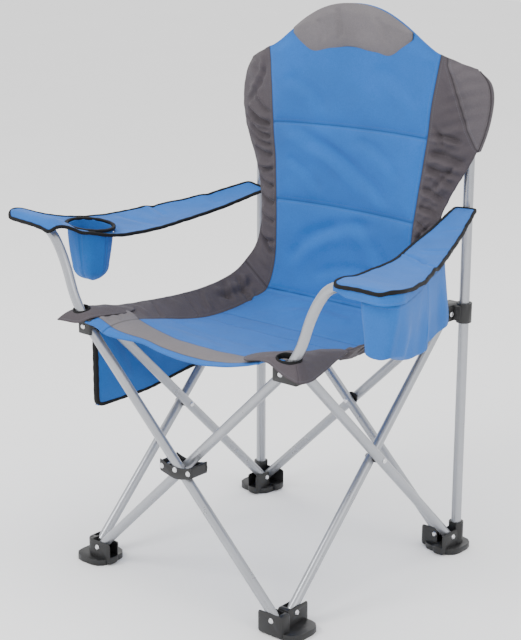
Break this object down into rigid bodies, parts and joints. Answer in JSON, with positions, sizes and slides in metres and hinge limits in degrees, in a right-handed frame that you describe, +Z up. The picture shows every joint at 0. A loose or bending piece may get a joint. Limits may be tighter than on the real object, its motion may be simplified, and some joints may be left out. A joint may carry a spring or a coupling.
{
  "type": "folding camp chair",
  "caption": "Folding camp chair: crossed steel tube legs, padded sling seat and high back, cloth armrests with a cup pouch and storage bags.",
  "frame": {"origin": "on the ground, at the centre of the chair's footprint box", "axes": "+Z up, -Y the way the sitter faces, +X to the viewer's right from the front"},
  "size_m": [0.8872, 0.556, 1.021],
  "materials": {
    "coated_tube": "satin silver-grey powder coat",
    "black_plastic": "moulded, slightly worn",
    "rivet_steel": "zinc plated",
    "blue_cloth": "woven polyester",
    "grey_cloth": "woven polyester",
    "black_tape": "woven binding tape"
  },
  "bodies": {
    "rear_right": {"rear_upright_right": "coated_tube", "foot_rear_right": "black_plastic", "pin_foot_rear_right_a": "rivet_steel", "pin_foot_rear_right_b": "rivet_steel", "backrest": "grey_cloth", "headrest_patch": "grey_cloth", "armrest_right": "blue_cloth"},
    "side_right_outer": {"side_tube_right_outer": "coated_tube", "washer_side_right": "black_plastic", "pin_side_right": "rivet_steel"},
    "side_right_inner": {"side_tube_right_inner": "coated_tube"},
    "foot_front_right": {"foot_front_right": "black_plastic", "pin_foot_front_right_a": "rivet_steel", "pin_foot_front_right_b": "rivet_steel"},
    "bracket_right": {"bracket_front_right": "black_plastic", "pin_bracket_right_a": "rivet_steel", "pin_bracket_right_b": "rivet_steel"},
    "collar_right": {"collar_rear_right": "black_plastic", "pin_collar_right_a": "rivet_steel", "pin_collar_right_b": "rivet_steel"},
    "front_left_arm_tube": {"front_tube_left_arm": "coated_tube"},
    "cross_hub": {"cross_hub_front": "black_plastic", "pin_cross_hub": "rivet_steel", "pin_hub_web_left": "rivet_steel", "pin_hub_web_right": "rivet_steel"},
    "front_right_arm_tube": {"front_tube_right_arm": "coated_tube"},
    "foot_front_left": {"foot_front_left": "black_plastic", "pin_foot_front_left_a": "rivet_steel", "pin_foot_front_left_b": "rivet_steel"},
    "bracket_left": {"bracket_front_left": "black_plastic", "pin_bracket_left_a": "rivet_steel", "pin_bracket_left_b": "rivet_steel", "side_pocket_left": "blue_cloth"},
    "side_left_outer": {"side_tube_left_outer": "coated_tube", "washer_side_left": "black_plastic", "pin_side_left": "rivet_steel"},
    "side_left_inner": {"side_tube_left_inner": "coated_tube"},
    "collar_left": {"collar_rear_left": "black_plastic", "pin_collar_left_a": "rivet_steel", "pin_collar_left_b": "rivet_steel"},
    "rear_left": {"rear_upright_left": "coated_tube", "foot_rear_left": "black_plastic", "pin_foot_rear_left_a": "rivet_steel", "pin_foot_rear_left_b": "rivet_steel", "armrest_left": "blue_cloth"},
    "back_near": {"back_tube_near": "coated_tube", "spacer_back_cross": "black_plastic", "pin_back_cross": "rivet_steel"},
    "back_far": {"back_tube_far": "coated_tube"},
    "seat_rear": {"seat_rear_half": "blue_cloth"},
    "seat_front": {"seat_front_half": "blue_cloth"},
    "arm_front_right": {"armrest_pocket_right": "blue_cloth"},
    "arm_front_left": {"cup_pouch": "blue_cloth", "cup_rim": "black_tape"}
  },
  "joints": [
    {"name": "fold", "type": "hinge", "parent": "rear_right", "child": "side_right_outer", "pos_m": [0.2435, 0.222, 0.03], "axis": [-1, 0, 0], "range_deg": [0, 38], "deforming": ["seat_front_half", "seat_rear_half", "backrest", "headrest_patch", "armrest_right", "armrest_left", "armrest_pocket_right", "side_pocket_left", "cup_pouch", "cup_rim"]},
    {"name": "side_right_cross", "type": "hinge", "parent": "side_right_outer", "child": "side_right_inner", "pos_m": [0.23275, 0, 0.24875], "axis": [1, 0, 0], "range_deg": [0, 76]},
    {"name": "foot_front_right_side", "type": "hinge", "parent": "side_right_inner", "child": "foot_front_right", "pos_m": [0.222, -0.222, 0.03], "axis": [-1, 0, 0], "range_deg": [0, 38]},
    {"name": "bracket_right_side", "type": "hinge", "parent": "side_right_outer", "child": "bracket_right", "pos_m": [0.2435, -0.222, 0.4675], "axis": [1, 0, 0], "range_deg": [0, 38]},
    {"name": "collar_right_side", "type": "hinge", "parent": "side_right_inner", "child": "collar_right", "pos_m": [0.222, 0.222, 0.4675], "axis": [-1, 0, 0], "range_deg": [0, 38]},
    {"name": "foot_front_right_front", "type": "hinge", "parent": "foot_front_right", "child": "front_left_arm_tube", "pos_m": [0.222, -0.263, 0.03], "axis": [0, 1, 0], "range_deg": [0, 38]},
    {"name": "front_cross_hub", "type": "hinge", "parent": "front_left_arm_tube", "child": "cross_hub", "pos_m": [0, -0.25275, 0.24875], "axis": [0, -1, 0], "range_deg": [0, 38]},
    {"name": "front_cross", "type": "hinge", "parent": "front_left_arm_tube", "child": "front_right_arm_tube", "pos_m": [0, -0.25275, 0.24875], "axis": [0, -1, 0], "range_deg": [0, 76]},
    {"name": "foot_front_left_front", "type": "hinge", "parent": "front_right_arm_tube", "child": "foot_front_left", "pos_m": [-0.222, -0.2425, 0.03], "axis": [0, 1, 0], "range_deg": [0, 38]},
    {"name": "bracket_left_front", "type": "hinge", "parent": "front_left_arm_tube", "child": "bracket_left", "pos_m": [-0.222, -0.263, 0.4675], "axis": [0, -1, 0], "range_deg": [0, 38]},
    {"name": "foot_front_left_side", "type": "hinge", "parent": "foot_front_left", "child": "side_left_outer", "pos_m": [-0.2435, -0.222, 0.03], "axis": [1, 0, 0], "range_deg": [0, 38]},
    {"name": "side_left_cross", "type": "hinge", "parent": "side_left_outer", "child": "side_left_inner", "pos_m": [-0.23275, 0, 0.24875], "axis": [-1, 0, 0], "range_deg": [0, 76]},
    {"name": "collar_left_side", "type": "hinge", "parent": "side_left_outer", "child": "collar_left", "pos_m": [-0.2435, 0.222, 0.4675], "axis": [-1, 0, 0], "range_deg": [0, 38]},
    {"name": "foot_rear_left_side", "type": "hinge", "parent": "side_left_inner", "child": "rear_left", "pos_m": [-0.222, 0.222, 0.03], "axis": [1, 0, 0], "range_deg": [0, 38]},
    {"name": "foot_rear_right_back", "type": "hinge", "parent": "rear_right", "child": "back_near", "pos_m": [0.222, 0.222, 0.03], "axis": [0, 1, 0], "range_deg": [0, 38]},
    {"name": "back_cross", "type": "hinge", "parent": "back_near", "child": "back_far", "pos_m": [0, 0.23275, 0.24875], "axis": [0, -1, 0], "range_deg": [0, 76]},
    {"name": "seat_rear_fold", "type": "hinge", "parent": "collar_right", "child": "seat_rear", "pos_m": [0.2, 0.2, 0.4735], "axis": [1, 0, 0], "range_deg": [0, 76]},
    {"name": "seat_front_fold", "type": "hinge", "parent": "bracket_right", "child": "seat_front", "pos_m": [0.2, -0.225, 0.4735], "axis": [-1, 0, 0], "range_deg": [0, 76]},
    {"name": "armrest_right_front", "type": "slide", "parent": "rear_right", "child": "arm_front_right", "axis": [-0.3052, 0.7843, 0.5402], "range_m": [0, 0.46346]},
    {"name": "armrest_left_front", "type": "slide", "parent": "rear_left", "child": "arm_front_left", "axis": [0.3052, 0.7843, 0.5402], "range_m": [0, 0.46346]}
  ],
  "couplings": [
    {"joint": "side_right_cross", "follows": "fold", "ratio": 2},
    {"joint": "foot_front_right_side", "follows": "fold", "ratio": 1},
    {"joint": "bracket_right_side", "follows": "fold", "ratio": 1},
    {"joint": "collar_right_side", "follows": "fold", "ratio": 1},
    {"joint": "foot_front_right_front", "follows": "fold", "ratio": 1},
    {"joint": "front_cross_hub", "follows": "fold", "ratio": 1},
    {"joint": "front_cross", "follows": "fold", "ratio": 2},
    {"joint": "foot_front_left_front", "follows": "fold", "ratio": 1},
    {"joint": "bracket_left_front", "follows": "fold", "ratio": 1},
    {"joint": "foot_front_left_side", "follows": "fold", "ratio": 1},
    {"joint": "side_left_cross", "follows": "fold", "ratio": 2},
    {"joint": "collar_left_side", "follows": "fold", "ratio": 1},
    {"joint": "foot_rear_left_side", "follows": "fold", "ratio": 1},
    {"joint": "foot_rear_right_back", "follows": "fold", "ratio": 1},
    {"joint": "back_cross", "follows": "fold", "ratio": 2},
    {"joint": "seat_rear_fold", "follows": "fold", "ratio": 2},
    {"joint": "seat_front_fold", "follows": "fold", "ratio": 2},
    {"joint": "armrest_right_front", "follows": "fold", "m_per_rad": 0.69879},
    {"joint": "armrest_left_front", "follows": "fold", "m_per_rad": 0.69879}
  ]
}
